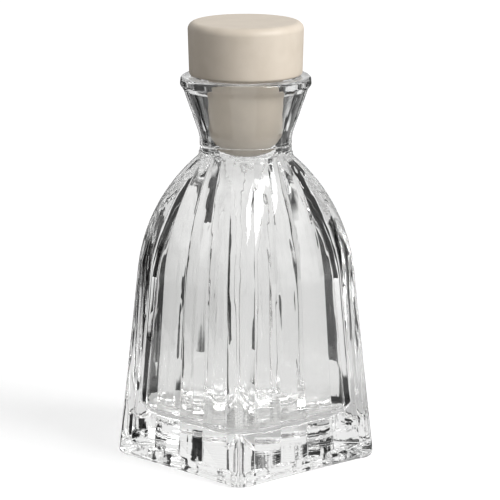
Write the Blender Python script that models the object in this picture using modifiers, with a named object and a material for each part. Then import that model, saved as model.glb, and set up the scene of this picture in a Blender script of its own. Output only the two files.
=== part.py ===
"""A clear pressed-glass bitters bottle with a T stopper in its mouth.

Metres, +Z up, with the origin at the middle of the flat base. The bottle's four faces look along X and Y, and its
corners lie on the diagonals. Twenty convex panels, four on each face and one on each corner, run from a plain square
foot up the shoulder to the round neck. The stopper is modelled where it closes the bottle.
"""
import math

import bmesh
import bpy
from mathutils import Vector

# Body of the bottle: reaches are measured from the axis
BASE_CORNER_REACH = 0.0415
BASE_FACE_REACH = 0.0296
SHOULDER_START = 0.062
SHOULDER_CORNER_REACH = 0.03487
SHOULDER_FACE_REACH = 0.026
SHOULDER_TOP = 0.0996
HEEL_ROUND = 0.002
FOOT_HEIGHT = 0.0042
FOOT_BLEND = 0.0012

# Panels between the grooves
PANELS_PER_FACE = 4
CORNER_PANEL_WIDTH = 0.0087
PANEL_BULGE = math.radians(15)
PANEL_BULGE_AT_NECK = math.radians(24)
CORNER_SHARPNESS = 0.7
FACE_SPAN_AT_NECK = math.radians(64)
GROOVE_DEPTH_AT_NECK = 0.00045
PANEL_STAND = 0.00035
PANEL_END_HEIGHT = 0.0014
PANEL_END_ROUND = 0.0006

# Neck, funnel and lip
NECK_RADIUS = 0.01475
NECK_LENGTH = 0.00615
NECK_BLEND = 0.0005
FUNNEL_LENGTH = 0.01925
FUNNEL_FILLET = 0.012
LIP_HEIGHT = 0.0044
LIP_FOOT_REACH = 0.0199
LIP_FOOT_ROUND = 0.0008
LIP_SIDE_HEIGHT = 0.0027
LIP_REACH = 0.021
LIP_SIDE_ROUND = 0.0012
LIP_TOP_REACH = 0.0208
LIP_EDGE_ROUND = 0.0011
MOUTH_RADIUS = 0.0165
MOUTH_EDGE_ROUND = 0.0009
MOUTH_ANGLE = math.radians(15)

# Hollow inside
WALL = 0.0043
FLOOR_THICKNESS = 0.014
FLOOR_ROUND = 0.005
CAVITY_CORNER_ROUND = 0.0065
CAVITY_DROP = 0.0025
CAVITY_BLEND = 0.003
BORE_RADIUS = 0.0118
BORE_ROUND = 0.012

# Stopper
HEAD_RADIUS = 0.0185
HEAD_HEIGHT = 0.0171
HEAD_DRAFT = 0.0004
HEAD_TOP_ROUND = 0.0025
HEAD_BOTTOM_ROUND = 0.001
SHANK_LENGTH = 0.0263
SHANK_TIP_LENGTH = 0.0116
SHANK_RIM_ROUND = 0.0003
SPIGOT_RADIUS = 0.006
SPIGOT_LENGTH = 0.011
SEAT_GAP = 0.0003
SHANK_CLEARANCE = 0.0003
SPIGOT_CLEARANCE = 0.0003

# How finely the shapes are divided, shaded and joined
PANEL_STEPS = 4
HEEL_STEPS = 3
FOOT_STEPS = 2
WALL_STEPS = 3
SHOULDER_STEPS = 9
PANEL_END_STEPS = 3
BEND_STEPS = 3
FLOOR_STEPS = 5
TURN_STEPS = 48
EDGE_STEPS = 4
TIP_STEPS = 8
SHARP_EDGE = math.radians(40)
MERGE_DISTANCE = 0.00001

# Heights and places that follow from the sizes above
FUNNEL_START = SHOULDER_TOP + NECK_LENGTH
BOTTLE_HEIGHT = FUNNEL_START + FUNNEL_LENGTH
BORE_TOP = BOTTLE_HEIGHT - (MOUTH_RADIUS - BORE_RADIUS) / math.tan(MOUTH_ANGLE)
PANEL_END = SHOULDER_TOP + PANEL_END_HEIGHT
WALL_LEAN = math.atan2(BASE_CORNER_REACH - SHOULDER_CORNER_REACH, SHOULDER_START)
SHOULDER_RISE = SHOULDER_TOP - SHOULDER_START
SHOULDER_END_LEAN = 2 * math.atan2(SHOULDER_CORNER_REACH - NECK_RADIUS, SHOULDER_RISE) - WALL_LEAN
SHOULDER_RADIUS = SHOULDER_RISE / (math.sin(SHOULDER_END_LEAN) - math.sin(WALL_LEAN))
SEAT = BOTTLE_HEIGHT + SEAT_GAP
TIP_START = SEAT + SHANK_TIP_LENGTH - SHANK_LENGTH


def mix(low, high, share):
    """The value or point that lies share of the way from low to high."""
    return low + (high - low) * share


def spread(low, high, steps):
    """Evenly spaced values from low to high, both included."""
    return [mix(low, high, i / steps) for i in range(steps + 1)]


def smooth_step(share):
    """0 up to 1, level at both ends."""
    share = min(max(share, 0.0), 1.0)
    return share * share * (3 - 2 * share)


def smooth_max(a, b, width):
    """The larger of a and b, with the crease between them rounded over width."""
    overlap = max(width - abs(a - b), 0.0) / width
    return max(a, b) + overlap * overlap * width / 4


def arc(centre, radius, start, end, steps):
    """Points (radius from the axis, height) along an arc, from angle start to angle end."""
    return [centre + radius * Vector((math.cos(a), math.sin(a))) for a in spread(start, end, steps)]


def bend(before, corner, after, radius, steps):
    """Points of the round on a path's corner, between the points before and after it."""
    back = (before - corner).normalized()
    onward = (after - corner).normalized()
    half = math.acos(back.dot(onward)) / 2
    centre = corner + (back + onward).normalized() * (radius / math.sin(half))
    start = corner + back * (radius / math.tan(half)) - centre
    first = math.atan2(start.y, start.x)
    turn = math.copysign(math.pi - 2 * half, onward.cross(back))
    return arc(centre, radius, first, first + turn, steps)


def shoulder_reach(height):
    """Axis to the bottle's corner: a leaning wall, then the shoulder's arc, which runs on inside the neck."""
    if height <= SHOULDER_START:
        return mix(BASE_CORNER_REACH, SHOULDER_CORNER_REACH, height / SHOULDER_START)
    sine = math.sin(WALL_LEAN) + (height - SHOULDER_START) / SHOULDER_RADIUS
    cosine = math.sqrt(max(0.0, 1 - sine * sine))
    return SHOULDER_CORNER_REACH - SHOULDER_RADIUS * (math.cos(WALL_LEAN) - cosine)


def corner_reach(height):
    """Axis to the corner panel's crest: the panels' ends stand a little out of the neck."""
    stand = mix(-PANEL_STAND, PANEL_STAND, smooth_step((PANEL_END - height) / PANEL_END_ROUND))
    return smooth_max(shoulder_reach(height), NECK_RADIUS + stand, NECK_BLEND)


def roundness(height):
    """0 where the section is the body's square, 1 where it is the neck's circle."""
    shrink = SHOULDER_CORNER_REACH - shoulder_reach(height)
    share = shrink / (SHOULDER_CORNER_REACH - NECK_RADIUS)
    return min(max(share, 0.0), 1.0) ** 2


def square_layout(height):
    """Reach of a face's grooves and half their spread, while the section is square."""
    shrink = shoulder_reach(height) / SHOULDER_CORNER_REACH
    if height <= SHOULDER_START:
        face = mix(BASE_FACE_REACH, SHOULDER_FACE_REACH, height / SHOULDER_START)
    else:
        face = SHOULDER_FACE_REACH * shrink
    return face, face - CORNER_PANEL_WIDTH * min(shrink, 1.0) / math.sqrt(2)


def groove_radius(height):
    """Axis to the grooves, where the section is round."""
    return corner_reach(height) - GROOVE_DEPTH_AT_NECK


def panel_depth(height):
    """0 in the plain foot, 1 where the panels and their grooves are whole."""
    return smooth_step((height - FOOT_HEIGHT) / FOOT_BLEND)


def groove(height, place):
    """A groove's point on the +X face; place runs from -1 to 1 across the face."""
    face, half_spread = square_layout(height)
    crown = half_spread / PANELS_PER_FACE * math.tan(PANEL_BULGE / 2)
    face += crown * (1 - panel_depth(height))
    angle = place * FACE_SPAN_AT_NECK / 2
    on_square = Vector((face, place * half_spread))
    on_circle = groove_radius(height) * Vector((math.cos(angle), math.sin(angle)))
    return mix(on_square, on_circle, roundness(height))


def panel_points(start, end, peak, weight):
    """Points across one convex panel, its last one left to the next panel: a conic drawn towards peak."""
    points = []
    for i in range(PANEL_STEPS):
        share = i / PANEL_STEPS
        pull = (1 - share) ** 2, 2 * weight * share * (1 - share), share * share
        points.append((start * pull[0] + peak * pull[1] + end * pull[2]) / sum(pull))
    return points


def side_panel(start, end, turn):
    """A panel on a face: an arc whose ends lean out from its chord by turn."""
    chord = end - start
    outward = Vector((chord.y, -chord.x))
    peak = (start + end) / 2 + outward * (math.tan(turn) / 2)
    return panel_points(start, end, peak, math.cos(turn))


def corner_panel(start, end, reach, weight):
    """A panel on a corner, whose middle lies at reach from the axis."""
    middle = (start + end) / 2
    top = middle.normalized() * reach
    return panel_points(start, end, middle + (top - middle) * (1 + weight) / weight, weight)


def turned_quarter(point, quarter):
    """The point turned about the axis by a number of quarter turns."""
    for _ in range(quarter):
        point = Vector((-point.y, point.x))
    return point


def body_section(height):
    """Outline of the panelled body at a height, with the round neck standing in its middle."""
    share = roundness(height)
    bulge = mix(PANEL_BULGE, PANEL_BULGE_AT_NECK, share) * panel_depth(height)
    turn = bulge + share * FACE_SPAN_AT_NECK / (2 * PANELS_PER_FACE)
    weight = mix(CORNER_SHARPNESS, 1.0, share)
    grooves = [groove(height, place) for place in spread(-1, 1, PANELS_PER_FACE)]
    quarter_points = []
    for start, end in zip(grooves, grooves[1:]):
        quarter_points += side_panel(start, end, turn)
    next_face = turned_quarter(grooves[0], 1)
    quarter_points += corner_panel(grooves[-1], next_face, corner_reach(height), weight)
    outline = []
    for quarter in range(4):
        outline += [turned_quarter(point, quarter) for point in quarter_points]
    return [point.normalized() * smooth_max(point.length, NECK_RADIUS, NECK_BLEND) for point in outline]


def ring(points, height):
    return [Vector((point.x, point.y, height)) for point in points]


def heel_rings():
    """The rounded edge round the flat base."""
    rings = []
    for lift in spread(0, math.pi / 2, HEEL_STEPS):
        height = HEEL_ROUND * (1 - math.cos(lift))
        inset = HEEL_ROUND * (1 - math.sin(lift))
        outline = body_section(height)
        rings.append(ring([point * (1 - inset / point.length) for point in outline], height))
    return rings


def shoulder_heights(start, top):
    """Heights from start to top at even steps of the shoulder's lean."""
    leans = spread(WALL_LEAN, SHOULDER_END_LEAN, SHOULDER_STEPS)
    rises = [(math.sin(lean) - math.sin(WALL_LEAN)) * SHOULDER_RADIUS / SHOULDER_RISE for lean in leans]
    return [mix(start, top, rise) for rise in rises]


def neck_profile():
    """Outside of the neck and funnel, then over the lip and down the mouth to the bore: (radius, height)."""
    path = [
        Vector((NECK_RADIUS, SHOULDER_TOP)),
        Vector((NECK_RADIUS, FUNNEL_START)),
        Vector((LIP_FOOT_REACH, BOTTLE_HEIGHT - LIP_HEIGHT)),
        Vector((LIP_REACH, BOTTLE_HEIGHT - LIP_SIDE_HEIGHT)),
        Vector((LIP_TOP_REACH, BOTTLE_HEIGHT)),
        Vector((MOUTH_RADIUS, BOTTLE_HEIGHT)),
        Vector((BORE_RADIUS, BORE_TOP)),
        Vector((BORE_RADIUS, SHOULDER_TOP)),
    ]
    rounds = [FUNNEL_FILLET, LIP_FOOT_ROUND, LIP_SIDE_ROUND, LIP_EDGE_ROUND, MOUTH_EDGE_ROUND, BORE_ROUND]
    profile = []
    for before, corner, after, radius in zip(path, path[1:], path[2:], rounds):
        profile += bend(before, corner, after, radius, BEND_STEPS)
    return profile


def rounded_square_reach(direction, half_width, corner_round):
    """Axis to a rounded square's edge, along a unit direction."""
    across, along = sorted((abs(direction.x), abs(direction.y)))
    corner = half_width - corner_round
    if half_width * across <= corner * along:
        return half_width / along
    both = corner * (across + along)
    return both + math.sqrt(max(both * both - 2 * corner * corner + corner_round * corner_round, 0.0))


def cavity_ring(height, directions, inset=0.0):
    """The hollow's rounded square, with the round bore standing in its middle."""
    outside = height + CAVITY_DROP
    share = roundness(outside)
    face = mix(square_layout(outside)[0], shoulder_reach(outside) - GROOVE_DEPTH_AT_NECK, share)
    half_width = face - WALL - inset
    corner_round = mix(CAVITY_CORNER_ROUND, half_width, share)
    points = []
    for direction in directions:
        reach = rounded_square_reach(direction, half_width, corner_round)
        points.append(direction * smooth_max(reach, BORE_RADIUS, CAVITY_BLEND))
    return ring(points, height)


def cavity_rings(directions):
    """The hollow from the foot of the bore down to its flat floor."""
    wall_foot = FLOOR_THICKNESS + FLOOR_ROUND
    top = SHOULDER_TOP - CAVITY_DROP
    heights = [top + CAVITY_BLEND / 2] + shoulder_heights(SHOULDER_START, top)[::-1]
    heights += spread(SHOULDER_START, wall_foot, WALL_STEPS)[1:]
    rings = [cavity_ring(height, directions) for height in heights]
    for turn in spread(0, math.pi / 2, FLOOR_STEPS)[1:]:
        height = wall_foot - FLOOR_ROUND * math.sin(turn)
        rings.append(cavity_ring(height, directions, FLOOR_ROUND * (1 - math.cos(turn))))
    return rings


def bottle_rings():
    """Every ring of the glass, from the base up the outside, over the lip and down the inside."""
    rings = heel_rings()
    heights = spread(FOOT_HEIGHT, FOOT_HEIGHT + FOOT_BLEND, FOOT_STEPS)
    heights += spread(FOOT_HEIGHT + FOOT_BLEND, SHOULDER_START, WALL_STEPS)[1:-1]
    heights += shoulder_heights(SHOULDER_START, SHOULDER_TOP)
    heights += spread(PANEL_END - PANEL_END_ROUND, PANEL_END, PANEL_END_STEPS)
    rings += [ring(body_section(height), height) for height in heights]
    directions = [point.normalized() for point in body_section(FUNNEL_START)]
    for radius, height in neck_profile():
        rings.append(ring([direction * radius for direction in directions], height))
    return rings + cavity_rings(directions)


def loft(name, rings):
    """A closed mesh through the rings, with a flat fan over the first and the last."""
    shape = bmesh.new()
    rows = [[shape.verts.new(point) for point in points] for points in rings]
    count = len(rows[0])
    for lower, upper in zip(rows, rows[1:]):
        for i in range(count):
            j = (i + 1) % count
            shape.faces.new((lower[i], lower[j], upper[j], upper[i]))
    first_middle = shape.verts.new((0, 0, rings[0][0].z))
    last_middle = shape.verts.new((0, 0, rings[-1][0].z))
    for i in range(count):
        j = (i + 1) % count
        shape.faces.new((first_middle, rows[0][j], rows[0][i]))
        shape.faces.new((last_middle, rows[-1][i], rows[-1][j]))
    mesh = bpy.data.meshes.new(name)
    shape.to_mesh(mesh)
    shape.free()
    mesh.shade_smooth()
    mesh.set_sharp_from_angle(angle=SHARP_EDGE)
    return mesh


def turned_object(name, profile):
    """A turned piece from a profile that runs down its outer side: (radius, height) points."""
    mesh = bpy.data.meshes.new(name)
    points = [(point[0], 0, point[1]) for point in profile]
    mesh.from_pydata(points, [(i, i + 1) for i in range(len(points) - 1)], [])
    turned = bpy.data.objects.new(name, mesh)
    screw = turned.modifiers.new("turn", "SCREW")
    screw.axis = "Z"
    screw.steps = TURN_STEPS
    screw.render_steps = TURN_STEPS
    screw.use_merge_vertices = True
    screw.merge_threshold = MERGE_DISTANCE
    screw.use_smooth_shade = True
    return turned


def shank_radius():
    """Radius of the shank, whose rounded tip lies SHANK_CLEARANCE off the rim of the bore."""
    sunk = (TIP_START - BORE_TOP) / SHANK_TIP_LENGTH
    return (BORE_RADIUS - SHANK_CLEARANCE) / math.sqrt(1 - sunk * sunk)


def head_profile():
    """The head, and the spigot under it. Heights are from the head's underside."""
    side = HEAD_RADIUS - HEAD_DRAFT
    top_round = Vector((HEAD_RADIUS - HEAD_TOP_ROUND, HEAD_HEIGHT - HEAD_TOP_ROUND))
    bottom_round = Vector((side - HEAD_BOTTOM_ROUND, HEAD_BOTTOM_ROUND))
    profile = [(0, HEAD_HEIGHT)]
    profile += arc(top_round, HEAD_TOP_ROUND, math.pi / 2, 0, EDGE_STEPS)
    profile += arc(bottom_round, HEAD_BOTTOM_ROUND, 0, -math.pi / 2, EDGE_STEPS)
    profile += [(SPIGOT_RADIUS, 0), (SPIGOT_RADIUS, -SPIGOT_LENGTH), (0, -SPIGOT_LENGTH)]
    return profile


def shank_profile():
    """The shank with its blind socket and rounded tip. Heights are from the head's underside."""
    radius = shank_radius()
    socket_radius = SPIGOT_RADIUS + SPIGOT_CLEARANCE
    top = -SPIGOT_CLEARANCE
    rim_round = Vector((radius - SHANK_RIM_ROUND, top - SHANK_RIM_ROUND))
    tip_start = SHANK_TIP_LENGTH - SHANK_LENGTH
    profile = [(0, -SPIGOT_LENGTH - SPIGOT_CLEARANCE), (socket_radius, -SPIGOT_LENGTH - SPIGOT_CLEARANCE)]
    profile += [(socket_radius, top)]
    profile += arc(rim_round, SHANK_RIM_ROUND, math.pi / 2, 0, EDGE_STEPS)
    for angle in spread(0, math.pi / 2, TIP_STEPS)[:-1]:
        profile.append((radius * math.cos(angle), tip_start - SHANK_TIP_LENGTH * math.sin(angle)))
    return profile + [(0, -SHANK_LENGTH)]


def surface(name, colour, roughness, transmission=0.0):
    """A Principled material."""
    material = bpy.data.materials.new(name)
    material.use_nodes = True
    shader = material.node_tree.nodes["Principled BSDF"]
    shader.inputs["Base Color"].default_value = (*colour, 1)
    shader.inputs["Roughness"].default_value = roughness
    shader.inputs["Metallic"].default_value = 0.0
    shader.inputs["Transmission Weight"].default_value = transmission
    return material


def add(collection, piece, material, parent=None):
    """Puts a piece in the collection, with its material and parent."""
    piece.data.materials.append(material)
    piece.parent = parent
    collection.objects.link(piece)


def main():
    for old in list(bpy.data.objects):
        bpy.data.objects.remove(old)
    collection = bpy.data.collections.new("bitters_bottle")
    bpy.context.scene.collection.children.link(collection)

    glass = bpy.data.objects.new("bottle_glass", loft("bottle_glass", bottle_rings()))
    add(collection, glass, surface("clear_glass", (0.97, 0.98, 0.98), 0.02, transmission=1.0))

    stopper_axis = bpy.data.objects.new("stopper_axis", None)
    stopper_axis.location = (0, 0, SEAT)
    collection.objects.link(stopper_axis)
    head = turned_object("stopper_head", head_profile())
    add(collection, head, surface("beige_plastic", (0.73, 0.64, 0.53), 0.45), stopper_axis)
    shank = turned_object("stopper_shank", shank_profile())
    add(collection, shank, surface("beige_elastomer", (0.66, 0.58, 0.48), 0.55), stopper_axis)


main()
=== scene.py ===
"""The looks of a clear pressed-glass bitters bottle with a beige T stopper in its mouth.

Metres, +Z up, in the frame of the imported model. The glass is lofted again with fine steps, so that its
grooves, its rounds and its thick base bend light as real glass does. The stopper is turned again too.
"""

import math

import bmesh
import bpy
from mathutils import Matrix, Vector, noise


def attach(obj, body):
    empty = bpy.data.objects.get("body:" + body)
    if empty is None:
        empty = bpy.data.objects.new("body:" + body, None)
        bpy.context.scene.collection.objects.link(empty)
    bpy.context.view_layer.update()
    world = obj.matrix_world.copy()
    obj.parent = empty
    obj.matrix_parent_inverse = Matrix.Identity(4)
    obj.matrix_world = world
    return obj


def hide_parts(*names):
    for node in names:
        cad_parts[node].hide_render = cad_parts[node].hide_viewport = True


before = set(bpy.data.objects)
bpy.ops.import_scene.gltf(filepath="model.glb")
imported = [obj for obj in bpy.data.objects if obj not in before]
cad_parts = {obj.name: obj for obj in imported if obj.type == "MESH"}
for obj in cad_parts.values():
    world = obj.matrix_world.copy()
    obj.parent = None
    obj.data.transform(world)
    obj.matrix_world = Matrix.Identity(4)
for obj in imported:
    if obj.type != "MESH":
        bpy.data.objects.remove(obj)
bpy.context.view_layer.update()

# Body of the bottle, its reaches measured from the axis
BASE_CORNER_REACH = 0.0415
BASE_FACE_REACH = 0.0296
SHOULDER_START = 0.062
SHOULDER_CORNER_REACH = 0.03487
SHOULDER_FACE_REACH = 0.026
SHOULDER_TOP = 0.0996
HEEL_ROUND = 0.002
FOOT_HEIGHT = 0.0042
FOOT_BLEND = 0.0012

# Panels between the grooves
PANELS_PER_FACE = 4
CORNER_PANEL_WIDTH = 0.0087
PANEL_BULGE = math.radians(15)
PANEL_BULGE_AT_NECK = math.radians(24)
CORNER_SHARPNESS = 0.7
FACE_SPAN_AT_NECK = math.radians(64)
GROOVE_DEPTH_AT_NECK = 0.00045
PANEL_STAND = 0.00035
PANEL_END_HEIGHT = 0.0014
PANEL_END_ROUND = 0.0006

# Neck, funnel and lip
NECK_RADIUS = 0.01475
NECK_LENGTH = 0.00615
NECK_BLEND = 0.0005
FUNNEL_LENGTH = 0.01925
FUNNEL_FILLET = 0.012
LIP_HEIGHT = 0.0044
LIP_FOOT_REACH = 0.0199
LIP_FOOT_ROUND = 0.0008
LIP_SIDE_HEIGHT = 0.0027
LIP_REACH = 0.021
LIP_SIDE_ROUND = 0.0012
LIP_TOP_REACH = 0.0208
LIP_EDGE_ROUND = 0.0011
MOUTH_RADIUS = 0.0165
MOUTH_EDGE_ROUND = 0.0009
MOUTH_ANGLE = math.radians(15)

# Hollow inside
WALL = 0.0043
FLOOR_THICKNESS = 0.014
FLOOR_ROUND = 0.005
CAVITY_CORNER_ROUND = 0.0065
CAVITY_DROP = 0.0025
CAVITY_BLEND = 0.003
BORE_RADIUS = 0.0118
BORE_ROUND = 0.012

# Marks of the mould, with the push-up's reach as a share of the base's
SEAM_HEIGHT = 0.1034
SEAM_WIDTH = 0.0003
SEAM_RIDGE = 0.00006
PUSH_UP = 0.0006
PUSH_UP_REACH = 0.7
RIPPLE = 0.00005
RIPPLE_LENGTH = 0.012

# Stopper
HEAD_RADIUS = 0.0185
HEAD_HEIGHT = 0.0171
HEAD_DRAFT = 0.0004
HEAD_TOP_ROUND = 0.0025
HEAD_BOTTOM_ROUND = 0.001
SHANK_LENGTH = 0.0263
SHANK_TIP_LENGTH = 0.0116
SHANK_FILLET = 0.0005
SEAT_GAP = 0.0003
SHANK_CLEARANCE = 0.0003

# How finely the glass is divided, across its panels and then up its outside and down its inside
PANEL_STEPS = 12
CORNER_STEPS = 18
BASE_STEPS = 8
HEEL_STEPS = 10
FOOT_STEPS = 3
FOOT_BLEND_STEPS = 10
WALL_STEPS = 32
SHOULDER_STEPS = 48
PANEL_TOP_STEPS = 4
PANEL_END_STEPS = 10
SEAM_STEPS = 8
NECK_STRAIGHT_STEPS = 12
NECK_ROUND_STEPS = 8
BORE_FOOT_STEPS = 6
FLOOR_STEPS = 14

# How finely the stopper is divided
TURN_STEPS = 160
EDGE_STEPS = 12
TIP_STEPS = 40

# Clear glass, with slow waves and fine upright streaks in its surface
GLASS_COLOUR = (0.988, 0.989, 0.983, 1)
GLASS_IOR = 1.5
WAVE_SCALE = 140
WAVE_DETAIL = 1.5
WAVE_STRENGTH = 0.25
WAVE_HEIGHT = 0.0002
STREAK_SCALE = 350
STREAK_STRETCH = (1.0, 1.0, 0.06)
STREAK_DETAIL = 1
STREAK_STRENGTH = 1.0
STREAK_HEIGHT = 0.0001

# Beige mouldings, whose colour and gloss drift a little and whose surface has a fine grain
HEAD_DARK = (0.70, 0.615, 0.51)
HEAD_LIGHT = (0.745, 0.66, 0.555)
HEAD_GRAIN = 0.12
# The shank's colours are the head's beige made darker: painted shade, standing in for the head's shadow on
# the shank
SHANK_SHADED_DARK = (0.60, 0.53, 0.44)
SHANK_SHADED_LIGHT = (0.655, 0.58, 0.485)
SHANK_GRAIN = 0.2
PLASTIC_ROUGHNESS = 0.5
ROUGHNESS_DRIFT = 0.06
DRIFT_SCALE = 160
DRIFT_DETAIL = 4
DRIFT_DARK_AT = 0.35
DRIFT_LIGHT_AT = 0.65
GRAIN_SCALE = 3000
GRAIN_DETAIL = 2
GRAIN_HEIGHT = 0.00005

# Camera, as the photograph was taken: a long lens, looking down a little on a corner of the bottle
CAMERA_AZIMUTH = math.radians(47.6)
CAMERA_DISTANCE = 1.083
CAMERA_HEIGHT = 0.302
CAMERA_LENS = 247.7
SENSOR_WIDTH = 36
AIM_HEIGHT = 0.068
AIM_RIGHT = 0.00134

# Softbox: its azimuth is measured from the camera's
KEY_SIZE = 1.2
KEY_ENERGY = 58
KEY_AZIMUTH = math.radians(55)
KEY_ELEVATION = math.radians(39)
KEY_DISTANCE = 2.5
KEY_AIM_HEIGHT = 0.07

# World: the soft light on everything, and how bright the background is where the glass shows it
FILL = 0.26
IN_GLASS = 0.9

# Ground that the bottle stands on: its colour, and its own light by the distance from the bottle's axis; the
# light that the glass shows of it is lower near the axis, a painted shadow round the bottle
GROUND_HALF_WIDTH = 3.0
GROUND_DROP = 0.0001
GROUND_COLOUR = (0.5, 0.5, 0.5, 1)
SEEN_NEAR = 0.4
SEEN_FAR = 1.6
SEEN_NEAR_LEVEL = 0.72
SEEN_FAR_LEVEL = 0.9
IN_GLASS_NEAR = 0.25
IN_GLASS_FAR = 0.5
# In the glass the floor's light drops to this level near the bottle: a painted shadow
IN_GLASS_PAINTED_SHADOW_LEVEL = 0.35
IN_GLASS_FAR_LEVEL = 0.6

# Felt flags, the dark bands in the glass: an end fades over a share of the flag's length each way
FELT_COLOUR = (0.01, 0.01, 0.01, 1)
COLUMN_DEGREES = 4
LEAST_COLUMNS = 2
SIDE_FADE_DEGREES = 1.0
END_FADE = 0.06
FLAG_LIFT = 0.0002

# Flat mats: name, first and last bearing in degrees, nearest and farthest distance
MATS = [
    ("mat_left", 58, 144, 0.056, 0.165),
    ("mat_left_back", 33, 70, 0.1, 0.25),
    ("mat_left_far", 20, 36, 0.155, 0.6),
    ("mat_right", -155, -36, 0.045, 0.165),
    ("mat_right_far", -36, -22, 0.155, 0.5),
]

# Upright cards, and hoods close to the glass: name, first and last bearing, distance, foot and head height
CARDS = [
    ("card_left_back", 13, 35, 0.5, 0.0, 0.17),
    ("card_left_middle", 49, 58, 0.5, 0.0, 0.12),
    ("card_left_side", 58, 100, 0.28, 0.0, 0.09),
    ("card_right_back", -36, -16, 0.375, 0.0, 0.2),
    ("card_right_side", -84, -54, 0.5, 0.0, 0.27),
    ("hood_left", 13, 39, 0.12, 0.065, 0.12),
    ("hood_left_middle", 39, 50, 0.12, 0.083, 0.12),
    ("hood_left_side", 50, 64, 0.12, 0.065, 0.12),
    ("hood_right", -41, -17, 0.12, 0.065, 0.12),
    ("hood_right_middle", -54, -41, 0.12, 0.083, 0.12),
    ("hood_right_side", -64, -54, 0.12, 0.065, 0.12),
]

# Most times that a ray may bend or mirror on its way through the glass
GLASS_BOUNCES = 32
MIRROR_BOUNCES = 16

# Heights and places that follow from the sizes above
FUNNEL_START = SHOULDER_TOP + NECK_LENGTH
BOTTLE_HEIGHT = FUNNEL_START + FUNNEL_LENGTH
BORE_TOP = BOTTLE_HEIGHT - (MOUTH_RADIUS - BORE_RADIUS) / math.tan(MOUTH_ANGLE)
PANEL_END = SHOULDER_TOP + PANEL_END_HEIGHT
WALL_LEAN = math.atan2(BASE_CORNER_REACH - SHOULDER_CORNER_REACH, SHOULDER_START)
SHOULDER_RISE = SHOULDER_TOP - SHOULDER_START
SHOULDER_END_LEAN = 2 * math.atan2(SHOULDER_CORNER_REACH - NECK_RADIUS, SHOULDER_RISE) - WALL_LEAN
SHOULDER_RADIUS = SHOULDER_RISE / (math.sin(SHOULDER_END_LEAN) - math.sin(WALL_LEAN))
SEAT = BOTTLE_HEIGHT + SEAT_GAP
TIP_START = SEAT + SHANK_TIP_LENGTH - SHANK_LENGTH


def mix(low, high, share):
    """The value or point that lies share of the way from low to high."""
    return low + (high - low) * share


def spread(low, high, steps):
    """Evenly spaced values from low to high, both included."""
    return [mix(low, high, i / steps) for i in range(steps + 1)]


def smooth_step(share):
    """0 up to 1, level at both ends."""
    share = min(max(share, 0.0), 1.0)
    return share * share * (3 - 2 * share)


def smooth_max(a, b, width):
    """The larger of a and b, with the crease between them rounded over width."""
    overlap = max(width - abs(a - b), 0.0) / width
    return max(a, b) + overlap * overlap * width / 4


def arc(centre, radius, start, end, steps):
    """Points (radius from the axis, height) along an arc, from angle start to angle end."""
    return [centre + radius * Vector((math.cos(a), math.sin(a))) for a in spread(start, end, steps)]


def straight(start, end, steps):
    """Points between start and end, both left out."""
    return [mix(start, end, i / steps) for i in range(1, steps)]


def bend(before, corner, after, radius, steps):
    """Points of the round on a path's corner, between the points before and after it."""
    back = (before - corner).normalized()
    onward = (after - corner).normalized()
    half = math.acos(back.dot(onward)) / 2
    centre = corner + (back + onward).normalized() * (radius / math.sin(half))
    start = corner + back * (radius / math.tan(half)) - centre
    first = math.atan2(start.y, start.x)
    turn = math.copysign(math.pi - 2 * half, onward.cross(back))
    return arc(centre, radius, first, first + turn, steps)


def shoulder_reach(height):
    """Axis to the bottle's corner: a leaning wall, then the shoulder's arc, which runs on inside the neck."""
    if height <= SHOULDER_START:
        return mix(BASE_CORNER_REACH, SHOULDER_CORNER_REACH, height / SHOULDER_START)
    sine = math.sin(WALL_LEAN) + (height - SHOULDER_START) / SHOULDER_RADIUS
    cosine = math.sqrt(max(0.0, 1 - sine * sine))
    return SHOULDER_CORNER_REACH - SHOULDER_RADIUS * (math.cos(WALL_LEAN) - cosine)


def corner_reach(height):
    """Axis to the corner panel's crest: the panels' ends stand a little out of the neck."""
    stand = mix(-PANEL_STAND, PANEL_STAND, smooth_step((PANEL_END - height) / PANEL_END_ROUND))
    return smooth_max(shoulder_reach(height), NECK_RADIUS + stand, NECK_BLEND)


def roundness(height):
    """0 where the section is the body's square, 1 where it is the neck's circle."""
    shrink = SHOULDER_CORNER_REACH - shoulder_reach(height)
    share = shrink / (SHOULDER_CORNER_REACH - NECK_RADIUS)
    return min(max(share, 0.0), 1.0) ** 2


def square_layout(height):
    """Reach of a face's grooves and half their spread, while the section is square."""
    shrink = shoulder_reach(height) / SHOULDER_CORNER_REACH
    if height <= SHOULDER_START:
        face = mix(BASE_FACE_REACH, SHOULDER_FACE_REACH, height / SHOULDER_START)
    else:
        face = SHOULDER_FACE_REACH * shrink
    return face, face - CORNER_PANEL_WIDTH * min(shrink, 1.0) / math.sqrt(2)


def groove_radius(height):
    """Axis to the grooves, where the section is round."""
    return corner_reach(height) - GROOVE_DEPTH_AT_NECK


def panel_depth(height):
    """0 in the plain foot, 1 where the panels and their grooves are whole."""
    return smooth_step((height - FOOT_HEIGHT) / FOOT_BLEND)


def groove(height, place):
    """A groove's point on the +X face; place runs from -1 to 1 across the face."""
    face, half_spread = square_layout(height)
    crown = half_spread / PANELS_PER_FACE * math.tan(PANEL_BULGE / 2)
    face += crown * (1 - panel_depth(height))
    angle = place * FACE_SPAN_AT_NECK / 2
    on_square = Vector((face, place * half_spread))
    on_circle = groove_radius(height) * Vector((math.cos(angle), math.sin(angle)))
    return mix(on_square, on_circle, roundness(height))


def panel_points(start, end, peak, weight, steps):
    """Points across a convex panel, closest at its grooves, the last one left to the next panel."""
    points = []
    for i in range(steps):
        share = (1 - math.cos(math.pi * i / steps)) / 2
        pull = (1 - share) ** 2, 2 * weight * share * (1 - share), share * share
        points.append((start * pull[0] + peak * pull[1] + end * pull[2]) / sum(pull))
    return points


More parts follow.
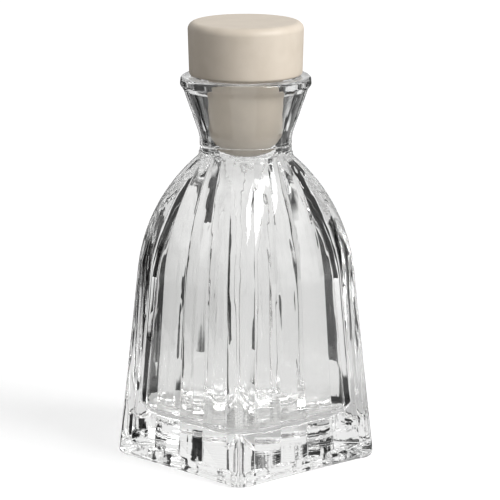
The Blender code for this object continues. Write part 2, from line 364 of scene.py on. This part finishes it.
def side_panel(start, end, turn):
    """A panel on a face: an arc whose ends lean out from its chord by turn."""
    chord = end - start
    outward = Vector((chord.y, -chord.x))
    peak = (start + end) / 2 + outward * (math.tan(turn) / 2)
    return panel_points(start, end, peak, math.cos(turn), PANEL_STEPS)


def corner_panel(start, end, reach, weight):
    """A panel on a corner, whose middle lies at reach from the axis."""
    middle = (start + end) / 2
    top = middle.normalized() * reach
    peak = middle + (top - middle) * (1 + weight) / weight
    return panel_points(start, end, peak, weight, CORNER_STEPS)


def turned_quarter(point, quarter):
    """The point turned about the axis by a number of quarter turns."""
    for _ in range(quarter):
        point = Vector((-point.y, point.x))
    return point


def body_section(height):
    """Outline of the panelled body at a height, with the round neck standing in its middle."""
    share = roundness(height)
    bulge = mix(PANEL_BULGE, PANEL_BULGE_AT_NECK, share) * panel_depth(height)
    turn = bulge + share * FACE_SPAN_AT_NECK / (2 * PANELS_PER_FACE)
    weight = mix(CORNER_SHARPNESS, 1.0, share)
    grooves = [groove(height, place) for place in spread(-1, 1, PANELS_PER_FACE)]
    quarter_points = []
    for start, end in zip(grooves, grooves[1:]):
        quarter_points += side_panel(start, end, turn)
    next_face = turned_quarter(grooves[0], 1)
    quarter_points += corner_panel(grooves[-1], next_face, corner_reach(height), weight)
    outline = []
    for quarter in range(4):
        outline += [turned_quarter(point, quarter) for point in quarter_points]
    return [point.normalized() * smooth_max(point.length, NECK_RADIUS, NECK_BLEND) for point in outline]


def ring(points, height):
    """The points of an outline, set at a height."""
    return [Vector((point.x, point.y, height)) for point in points]


def base_rings():
    """The underside, from near its middle out to the heel, with a low push-up inside its flat ring."""
    outline = body_section(0)
    rim = [point * (1 - HEEL_ROUND / point.length) for point in outline]
    rings = []
    for share in spread(0, 1, BASE_STEPS)[1:]:
        rise = PUSH_UP * smooth_step((1 - share) / (1 - PUSH_UP_REACH))
        rings.append(ring([point * share for point in rim], rise))
    return rings


def heel_rings():
    """The rounded edge round the base, above its flat."""
    rings = []
    for lift in spread(0, math.pi / 2, HEEL_STEPS)[1:]:
        height = HEEL_ROUND * (1 - math.cos(lift))
        inset = HEEL_ROUND * (1 - math.sin(lift))
        outline = body_section(height)
        rings.append(ring([point * (1 - inset / point.length) for point in outline], height))
    return rings


def shoulder_heights(start, top):
    """Heights from start to top at even steps of the shoulder's lean."""
    leans = spread(WALL_LEAN, SHOULDER_END_LEAN, SHOULDER_STEPS)
    rises = [(math.sin(lean) - math.sin(WALL_LEAN)) * SHOULDER_RADIUS / SHOULDER_RISE for lean in leans]
    return [mix(start, top, rise) for rise in rises]


def seam_profile():
    """The thin ridge that the mould's joint leaves round the neck: (radius, height) points, going up."""
    points = []
    for share in spread(-1, 1, SEAM_STEPS):
        ridge = SEAM_RIDGE * (1 - share * share)
        points.append(Vector((NECK_RADIUS + ridge, SEAM_HEIGHT + share * SEAM_WIDTH / 2)))
    return points


def neck_profile():
    """Outside of the neck and funnel, then over the lip and down the mouth to the bore: (radius, height)."""
    path = [
        Vector((NECK_RADIUS, SHOULDER_TOP)),
        Vector((NECK_RADIUS, FUNNEL_START)),
        Vector((LIP_FOOT_REACH, BOTTLE_HEIGHT - LIP_HEIGHT)),
        Vector((LIP_REACH, BOTTLE_HEIGHT - LIP_SIDE_HEIGHT)),
        Vector((LIP_TOP_REACH, BOTTLE_HEIGHT)),
        Vector((MOUTH_RADIUS, BOTTLE_HEIGHT)),
        Vector((BORE_RADIUS, BORE_TOP)),
        Vector((BORE_RADIUS, SHOULDER_TOP)),
    ]
    rounds = [FUNNEL_FILLET, LIP_FOOT_ROUND, LIP_SIDE_ROUND, LIP_EDGE_ROUND, MOUTH_EDGE_ROUND, BORE_ROUND]
    profile = seam_profile()
    for before, corner, after, radius in zip(path, path[1:], path[2:], rounds):
        bent = bend(before, corner, after, radius, NECK_ROUND_STEPS)
        profile += straight(profile[-1], bent[0], NECK_STRAIGHT_STEPS) + bent
    return profile


def rounded_square_reach(direction, half_width, corner_round):
    """Axis to a rounded square's edge, along a unit direction."""
    across, along = sorted((abs(direction.x), abs(direction.y)))
    corner = half_width - corner_round
    if half_width * across <= corner * along:
        return half_width / along
    both = corner * (across + along)
    return both + math.sqrt(max(both * both - 2 * corner * corner + corner_round * corner_round, 0.0))


def cavity_ring(height, directions, inset=0.0):
    """The hollow's rounded square, with the round bore standing in its middle, and its wall's slow ripple."""
    outside = height + CAVITY_DROP
    share = roundness(outside)
    face = mix(square_layout(outside)[0], shoulder_reach(outside) - GROOVE_DEPTH_AT_NECK, share)
    half_width = face - WALL - inset
    corner_round = mix(CAVITY_CORNER_ROUND, half_width, share)
    points = []
    for direction in directions:
        reach = rounded_square_reach(direction, half_width, corner_round)
        reach = smooth_max(reach, BORE_RADIUS, CAVITY_BLEND)
        spot = Vector((direction.x * reach, direction.y * reach, height)) / RIPPLE_LENGTH
        points.append(direction * (reach + RIPPLE * noise.noise(spot)))
    return ring(points, height)


def cavity_rings(directions):
    """The hollow from the foot of the bore down to its flat floor."""
    wall_foot = FLOOR_THICKNESS + FLOOR_ROUND
    top = SHOULDER_TOP - CAVITY_DROP
    heights = spread(top + CAVITY_BLEND / 2, top, BORE_FOOT_STEPS)[:-1]
    heights += shoulder_heights(SHOULDER_START, top)[::-1]
    heights += spread(SHOULDER_START, wall_foot, WALL_STEPS)[1:]
    rings = [cavity_ring(height, directions) for height in heights]
    for turn in spread(0, math.pi / 2, FLOOR_STEPS)[1:]:
        height = wall_foot - FLOOR_ROUND * math.sin(turn)
        rings.append(cavity_ring(height, directions, FLOOR_ROUND * (1 - math.cos(turn))))
    floor = rings[-1]
    for share in spread(1, 0, BASE_STEPS)[1:-1]:
        rings.append(ring([point * share for point in floor], FLOOR_THICKNESS))
    return rings


def bottle_rings():
    """Every ring of the glass, from the base up the outside, over the lip and down the inside."""
    rings = base_rings() + heel_rings()
    heights = spread(HEEL_ROUND, FOOT_HEIGHT, FOOT_STEPS)[1:-1]
    heights += spread(FOOT_HEIGHT, FOOT_HEIGHT + FOOT_BLEND, FOOT_BLEND_STEPS)
    heights += spread(FOOT_HEIGHT + FOOT_BLEND, SHOULDER_START, WALL_STEPS)[1:-1]
    heights += shoulder_heights(SHOULDER_START, SHOULDER_TOP)
    heights += spread(SHOULDER_TOP, PANEL_END - PANEL_END_ROUND, PANEL_TOP_STEPS)[1:]
    heights += spread(PANEL_END - PANEL_END_ROUND, PANEL_END, PANEL_END_STEPS)[1:]
    rings += [ring(body_section(height), height) for height in heights]
    directions = [point.normalized() for point in body_section(FUNNEL_START)]
    for radius, height in neck_profile():
        rings.append(ring([direction * radius for direction in directions], height))
    return rings + cavity_rings(directions)


def loft(name, rings):
    """A closed object through the rings, with a fan over the first and the last."""
    shape = bmesh.new()
    rows = [[shape.verts.new(point) for point in points] for points in rings]
    count = len(rows[0])
    for lower, upper in zip(rows, rows[1:]):
        for i in range(count):
            j = (i + 1) % count
            shape.faces.new((lower[i], lower[j], upper[j], upper[i]))
    first_middle = shape.verts.new((0, 0, rings[0][0].z))
    last_middle = shape.verts.new((0, 0, rings[-1][0].z))
    for i in range(count):
        j = (i + 1) % count
        shape.faces.new((first_middle, rows[0][j], rows[0][i]))
        shape.faces.new((last_middle, rows[-1][i], rows[-1][j]))
    return to_object(name, shape)


def to_object(name, shape):
    """A smooth-shaded object in the scene, made from a bmesh, which is freed."""
    mesh = bpy.data.meshes.new(name)
    shape.to_mesh(mesh)
    shape.free()
    mesh.shade_smooth()
    made = bpy.data.objects.new(name, mesh)
    bpy.context.scene.collection.objects.link(made)
    return made


def turned(name, profile):
    """A closed turned object: (radius, height) points that run down its outer side, from axis to axis."""
    shape = bmesh.new()
    rows = []
    for radius, height in profile[1:-1]:
        row = []
        for i in range(TURN_STEPS):
            angle = 2 * math.pi * i / TURN_STEPS
            row.append(shape.verts.new((radius * math.cos(angle), radius * math.sin(angle), height)))
        rows.append(row)
    top = shape.verts.new((0, 0, profile[0][1]))
    foot = shape.verts.new((0, 0, profile[-1][1]))
    for i in range(TURN_STEPS):
        j = (i + 1) % TURN_STEPS
        shape.faces.new((top, rows[0][i], rows[0][j]))
        for upper, lower in zip(rows, rows[1:]):
            shape.faces.new((upper[i], lower[i], lower[j], upper[j]))
        shape.faces.new((foot, rows[-1][j], rows[-1][i]))
    return to_object(name, shape)


def shank_radius():
    """Radius of the shank, whose rounded tip lies SHANK_CLEARANCE off the rim of the bore."""
    sunk = (TIP_START - BORE_TOP) / SHANK_TIP_LENGTH
    return (BORE_RADIUS - SHANK_CLEARANCE) / math.sqrt(1 - sunk * sunk)


def head_profile():
    """The stopper's head, which rests on the lip."""
    side = HEAD_RADIUS - HEAD_DRAFT
    top_round = Vector((HEAD_RADIUS - HEAD_TOP_ROUND, SEAT + HEAD_HEIGHT - HEAD_TOP_ROUND))
    bottom_round = Vector((side - HEAD_BOTTOM_ROUND, SEAT + HEAD_BOTTOM_ROUND))
    top = arc(top_round, HEAD_TOP_ROUND, math.pi / 2, 0, EDGE_STEPS)
    bottom = arc(bottom_round, HEAD_BOTTOM_ROUND, 0, -math.pi / 2, EDGE_STEPS)
    middle_top = Vector((0, SEAT + HEAD_HEIGHT))
    middle_foot = Vector((0, SEAT))
    profile = [middle_top] + straight(middle_top, top[0], EDGE_STEPS) + top
    profile += straight(top[-1], bottom[0], EDGE_STEPS) + bottom
    return profile + straight(bottom[-1], middle_foot, EDGE_STEPS) + [middle_foot]


def shank_profile():
    """The shank under the head, flared a little where it is bonded to it, with its rounded tip."""
    radius = shank_radius()
    fillet_centre = Vector((radius + SHANK_FILLET, SEAT - SHANK_FILLET))
    fillet = arc(fillet_centre, SHANK_FILLET, math.pi / 2, math.pi, EDGE_STEPS)
    tip = []
    for angle in spread(0, math.pi / 2, TIP_STEPS)[:-1]:
        tip.append(Vector((radius * math.cos(angle), TIP_START - SHANK_TIP_LENGTH * math.sin(angle))))
    profile = [Vector((0, SEAT))] + fillet + straight(fillet[-1], tip[0], EDGE_STEPS) + tip
    return profile + [Vector((0, SEAT - SHANK_LENGTH))]


def new_material(name):
    """A node material with its shader alone: (material, nodes, link function, Principled shader)."""
    material = bpy.data.materials.new(name)
    material.use_nodes = True
    nodes = material.node_tree.nodes
    return material, nodes, material.node_tree.links.new, nodes["Principled BSDF"]


def noise_texture(nodes, link, vector, scale, detail):
    """A noise over the surface, as the output of its value."""
    texture = nodes.new("ShaderNodeTexNoise")
    texture.inputs["Scale"].default_value = scale
    texture.inputs["Detail"].default_value = detail
    link(vector, texture.inputs["Vector"])
    return texture.outputs["Fac"]


def bump(nodes, link, relief, strength, height):
    """A bump node that follows a relief's output, as deep as height."""
    node = nodes.new("ShaderNodeBump")
    node.inputs["Strength"].default_value = strength
    node.inputs["Distance"].default_value = height
    link(relief, node.inputs["Height"])
    return node


def glass_material():
    """Clear flint glass: fire-polished, with the faint waves and streaks of a pressed surface."""
    material, nodes, link, shader = new_material("clear_glass")
    shader.inputs["Base Color"].default_value = GLASS_COLOUR
    shader.inputs["Transmission Weight"].default_value = 1.0
    shader.inputs["IOR"].default_value = GLASS_IOR
    shader.inputs["Roughness"].default_value = 0.0
    place = nodes.new("ShaderNodeTexCoord").outputs["Object"]
    stretch = nodes.new("ShaderNodeMapping")
    stretch.inputs["Scale"].default_value = STREAK_STRETCH
    link(place, stretch.inputs["Vector"])
    streaks = noise_texture(nodes, link, stretch.outputs["Vector"], STREAK_SCALE, STREAK_DETAIL)
    streak_bump = bump(nodes, link, streaks, STREAK_STRENGTH, STREAK_HEIGHT)
    waves = noise_texture(nodes, link, place, WAVE_SCALE, WAVE_DETAIL)
    wave_bump = bump(nodes, link, waves, WAVE_STRENGTH, WAVE_HEIGHT)
    link(streak_bump.outputs["Normal"], wave_bump.inputs["Normal"])
    link(wave_bump.outputs["Normal"], shader.inputs["Normal"])
    return material


def plastic_material(name, dark, light, grain):
    """Moulded plastic: a colour that drifts a little from dark to light, and a fine grain."""
    material, nodes, link, shader = new_material(name)
    place = nodes.new("ShaderNodeTexCoord").outputs["Object"]
    drift = noise_texture(nodes, link, place, DRIFT_SCALE, DRIFT_DETAIL)
    colours = nodes.new("ShaderNodeValToRGB")
    colours.color_ramp.elements[0].position = DRIFT_DARK_AT
    colours.color_ramp.elements[0].color = (*dark, 1)
    colours.color_ramp.elements[1].position = DRIFT_LIGHT_AT
    colours.color_ramp.elements[1].color = (*light, 1)
    gloss = nodes.new("ShaderNodeMapRange")
    gloss.inputs["To Min"].default_value = PLASTIC_ROUGHNESS - ROUGHNESS_DRIFT
    gloss.inputs["To Max"].default_value = PLASTIC_ROUGHNESS + ROUGHNESS_DRIFT
    speckle = noise_texture(nodes, link, place, GRAIN_SCALE, GRAIN_DETAIL)
    grain_bump = bump(nodes, link, speckle, grain, GRAIN_HEIGHT)
    link(drift, colours.inputs["Fac"])
    link(colours.outputs["Color"], shader.inputs["Base Color"])
    link(drift, gloss.inputs["Value"])
    link(gloss.outputs["Result"], shader.inputs["Roughness"])
    link(grain_bump.outputs["Normal"], shader.inputs["Normal"])
    return material


def matt_material(name, colour):
    """A dull surface with no gloss at all, as new_material returns it."""
    material, nodes, link, shader = new_material(name)
    shader.inputs["Base Color"].default_value = colour
    shader.inputs["Roughness"].default_value = 1.0
    shader.inputs["Specular IOR Level"].default_value = 0.0
    return material, nodes, link, shader


def make_glass():
    """The bottle, as one closed piece of glass."""
    glass = loft("bottle_glass_fine", bottle_rings())
    glass.data.materials.append(glass_material())
    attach(glass, "bottle")
    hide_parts("bottle_glass")


def make_stopper():
    """The stopper's two mouldings."""
    head = turned("stopper_head_fine", head_profile())
    head.data.materials.append(plastic_material("beige_plastic", HEAD_DARK, HEAD_LIGHT, HEAD_GRAIN))
    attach(head, "stopper")
    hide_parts("stopper_head")
    shank = turned("stopper_shank_fine", shank_profile())
    # The shank's darker beige is painted shade from the head above it
    shank.data.materials.append(plastic_material("beige_elastomer", SHANK_SHADED_DARK, SHANK_SHADED_LIGHT, SHANK_GRAIN))
    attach(shank, "stopper")
    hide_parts("stopper_shank")


def arithmetic(nodes, link, operation, *terms):
    """The output of a Math node, whose terms are outputs or plain numbers."""
    node = nodes.new("ShaderNodeMath")
    node.operation = operation
    for term, socket in zip(terms, node.inputs):
        if isinstance(term, (int, float)):
            socket.default_value = term
        else:
            link(term, socket)
    return node.outputs[0]


def background_level(nodes, link, seen, in_glass):
    """The level seen for the camera's rays, in_glass for rays mirrored by or gone through glass, else 0."""
    path = nodes.new("ShaderNodeLightPath").outputs
    either = arithmetic(nodes, link, "MAXIMUM", path["Is Glossy Ray"], path["Is Transmission Ray"])
    glass = arithmetic(nodes, link, "MULTIPLY", either, in_glass)
    return arithmetic(nodes, link, "MULTIPLY_ADD", path["Is Camera Ray"], seen, glass)


def level_by_distance(nodes, link, distance, near, far, near_level, far_level):
    """A level that changes evenly from near_level to far_level between two distances."""
    change = nodes.new("ShaderNodeMapRange")
    change.inputs["From Min"].default_value = near
    change.inputs["From Max"].default_value = far
    change.inputs["To Min"].default_value = near_level
    change.inputs["To Max"].default_value = far_level
    link(distance, change.inputs["Value"])
    return change.outputs["Result"]


def floor_material():
    """Matt grey that shines by itself, so that it looks white, and that still takes the object's shadow;
    where the glass shows it, its light dims towards the bottle, a painted shadow.
    """
    material, nodes, link, shader = matt_material("floor", GROUND_COLOUR)
    shader.inputs["Emission Color"].default_value = (1, 1, 1, 1)
    length = nodes.new("ShaderNodeVectorMath")
    length.operation = "LENGTH"
    link(nodes.new("ShaderNodeTexCoord").outputs["Object"], length.inputs[0])
    distance = length.outputs["Value"]
    seen = level_by_distance(nodes, link, distance, SEEN_NEAR, SEEN_FAR, SEEN_NEAR_LEVEL, SEEN_FAR_LEVEL)
    # The light that the glass shows is lower near the bottle: a painted shadow round its base
    in_glass = level_by_distance(
        nodes, link, distance, IN_GLASS_NEAR, IN_GLASS_FAR, IN_GLASS_PAINTED_SHADOW_LEVEL, IN_GLASS_FAR_LEVEL)
    link(background_level(nodes, link, seen, in_glass), shader.inputs["Emission Strength"])
    return material


def make_floor():
    """A wide square floor, a little below the base."""
    half = GROUND_HALF_WIDTH
    shape = bmesh.new()
    corners = ((-half, -half, 0), (half, -half, 0), (half, half, 0), (-half, half, 0))
    shape.faces.new([shape.verts.new(corner) for corner in corners])
    floor = to_object("floor", shape)
    floor.location.z = -GROUND_DROP
    floor.data.materials.append(floor_material())


def make_world():
    """White for the rays that show the background, plain soft light for the rest."""
    world = bpy.data.worlds.new("studio")
    bpy.context.scene.world = world
    world.use_nodes = True
    nodes = world.node_tree.nodes
    link = world.node_tree.links.new
    nodes["Background"].inputs["Color"].default_value = (1, 1, 1, 1)
    level = background_level(nodes, link, 1.0 - FILL, IN_GLASS - FILL)
    link(arithmetic(nodes, link, "ADD", level, FILL), nodes["Background"].inputs["Strength"])


def around(azimuth, elevation, distance):
    """The point from which a camera at this azimuth, elevation and distance would look at the origin."""
    level = math.cos(elevation)
    return distance * Vector((math.sin(azimuth) * level, -math.cos(azimuth) * level, math.sin(elevation)))


def sector_point(bearing, distance, height):
    """A point by its bearing in degrees: 0 straight behind the bottle, positive to the camera's left."""
    angle = CAMERA_AZIMUTH + math.pi + math.radians(bearing)
    return Vector((math.sin(angle) * distance, -math.cos(angle) * distance, height))


def felt_material(name):
    """Black felt that covers fully where the mesh says 1 and is clear where it says 0."""
    material, nodes, link, shader = matt_material(name, FELT_COLOUR)
    cover = nodes.new("ShaderNodeAttribute")
    cover.attribute_name = "cover"
    link(cover.outputs["Fac"], shader.inputs["Alpha"])
    return material


def make_flag(name, low, high, foot, head, soft_foot):
    """Black felt between two bearings, seen in the glass alone; foot and head are (distance, height)."""
    steps = max(LEAST_COLUMNS, round((high - low) / COLUMN_DEGREES))
    columns = [(bearing, 1.0) for bearing in spread(low + SIDE_FADE_DEGREES, high - SIDE_FADE_DEGREES, steps)]
    columns = [(low - SIDE_FADE_DEGREES, 0.0)] + columns + [(high + SIDE_FADE_DEGREES, 0.0)]
    rows = [(-END_FADE, 0.0), (END_FADE, 1.0)] if soft_foot else [(0.0, 1.0)]
    rows += [(1 - END_FADE, 1.0), (1 + END_FADE, 0.0)]
    shape = bmesh.new()
    cover = shape.verts.layers.float.new("cover")
    grid = []
    for bearing, across in columns:
        grid.append([])
        for share, along in rows:
            vertex = shape.verts.new(sector_point(bearing, *mix(Vector(foot), Vector(head), share)))
            vertex[cover] = across * along
            grid[-1].append(vertex)
    for left, right in zip(grid, grid[1:]):
        for i in range(len(rows) - 1):
            shape.faces.new((left[i], left[i + 1], right[i + 1], right[i]))
    flag = to_object(name, shape)
    flag.data.materials.append(felt_material(name))
    flag.visible_camera = False
    flag.visible_diffuse = False
    flag.visible_shadow = False


def make_flags():
    """The mats on the floor round the bottle, and the cards and hoods that stand round it."""
    for name, low, high, near, far in MATS:
        make_flag(name, low, high, (near, FLAG_LIFT), (far, FLAG_LIFT), False)
    for name, low, high, distance, foot, head in CARDS:
        make_flag(name, low, high, (distance, foot + FLAG_LIFT), (distance, head), foot > 0)


def face_towards(looker, aim):
    """Turns a lamp or camera to look at a point, upright."""
    looker.rotation_euler = (looker.location - aim).to_track_quat("Z", "Y").to_euler()


def make_key_light():
    """A softbox, high on the right of the camera."""
    lamp = bpy.data.lights.new("key", "AREA")
    lamp.shape = "RECTANGLE"
    lamp.size = KEY_SIZE
    lamp.size_y = KEY_SIZE
    lamp.energy = KEY_ENERGY
    key = bpy.data.objects.new("key", lamp)
    bpy.context.scene.collection.objects.link(key)
    key.location = around(CAMERA_AZIMUTH + KEY_AZIMUTH, KEY_ELEVATION, KEY_DISTANCE)
    face_towards(key, Vector((0, 0, KEY_AIM_HEIGHT)))


def make_camera():
    """A camera with a long lens, where the photograph's stood."""
    camera = bpy.data.objects.new("camera", bpy.data.cameras.new("camera"))
    bpy.context.scene.collection.objects.link(camera)
    camera.data.sensor_width = SENSOR_WIDTH
    camera.data.lens = CAMERA_LENS
    back = around(CAMERA_AZIMUTH, 0, CAMERA_DISTANCE)
    right = Vector((math.cos(CAMERA_AZIMUTH), math.sin(CAMERA_AZIMUTH), 0))
    camera.location = back + Vector((0, 0, CAMERA_HEIGHT))
    face_towards(camera, right * AIM_RIGHT + Vector((0, 0, AIM_HEIGHT)))
    bpy.context.scene.camera = camera


make_glass()
make_stopper()
make_floor()
make_world()
make_flags()
make_key_light()
make_camera()

scene = bpy.context.scene
scene.view_settings.view_transform = "Standard"
scene.cycles.max_bounces = GLASS_BOUNCES
scene.cycles.transmission_bounces = GLASS_BOUNCES
scene.cycles.glossy_bounces = MIRROR_BOUNCES
